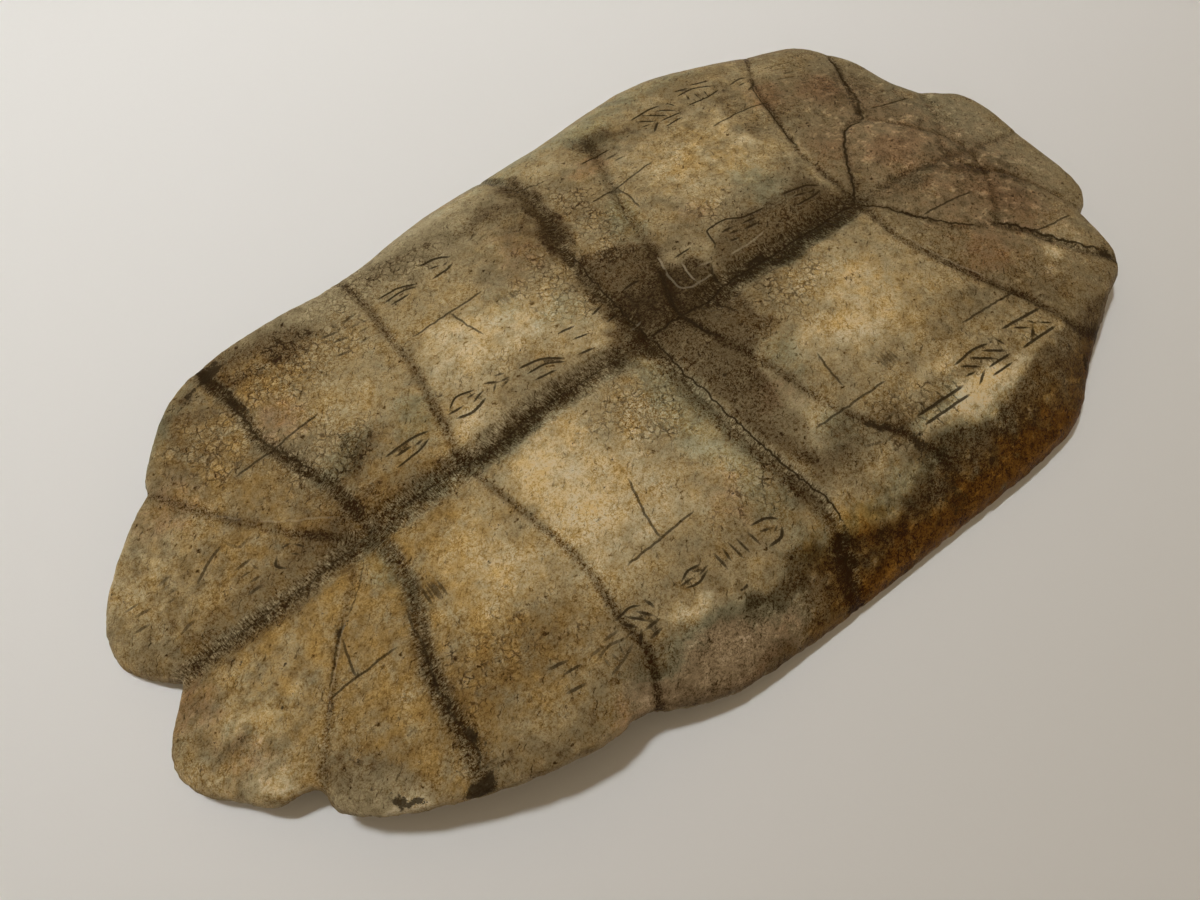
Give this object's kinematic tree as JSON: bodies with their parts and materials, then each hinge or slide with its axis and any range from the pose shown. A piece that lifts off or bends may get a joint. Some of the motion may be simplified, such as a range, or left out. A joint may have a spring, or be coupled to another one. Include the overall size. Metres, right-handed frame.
{
  "type": "turtle plastron oracle bone",
  "caption": "Arched turtle belly plate of bone, notched at the tail, with seam grooves, forked divination cracks and rows of shallow strokes.",
  "frame": {"origin": "centre of the plate's box, on the surface that it rests on", "axes": "+X along the midline towards the head end, -X to the tail notch, +Z out of the carved face, which is up"},
  "size_m": [0.2246, 0.1304, 0.0168],
  "materials": {
    "old_bone": "satin, aged bone stained amber, umber and grey"
  },
  "bodies": {
    "root": {"plastron": "old_bone"}
  },
  "joints": []
}
